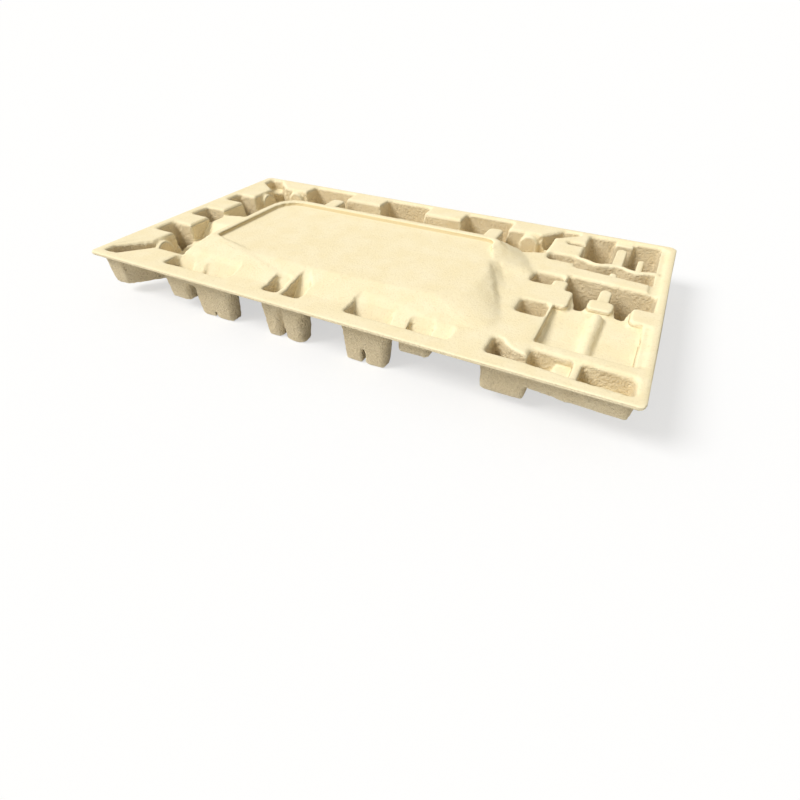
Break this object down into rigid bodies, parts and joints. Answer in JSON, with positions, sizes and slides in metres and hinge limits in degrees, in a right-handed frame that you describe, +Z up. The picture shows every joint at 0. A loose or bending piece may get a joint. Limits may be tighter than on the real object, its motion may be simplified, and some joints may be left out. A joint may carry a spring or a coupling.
{
  "type": "molded pulp insert",
  "caption": "Rectangular moulded pulp packing tray: thin fibre wall pressed into a raised panel, a moat, shaped compartments and hollow feet, with a flat rim all round.",
  "frame": {"origin": "under the middle of the rim, on the surface that the feet stand on", "axes": "+X along the rim's long side towards the compartments, +Y away from the side with the broad sloping flange, +Z up"},
  "size_m": [0.6, 0.325, 0.065],
  "materials": {
    "pulp": "matt pressed paper fibre, fine grained on top and coarser underneath"
  },
  "bodies": {
    "root": {"tray": "pulp"}
  },
  "joints": []
}
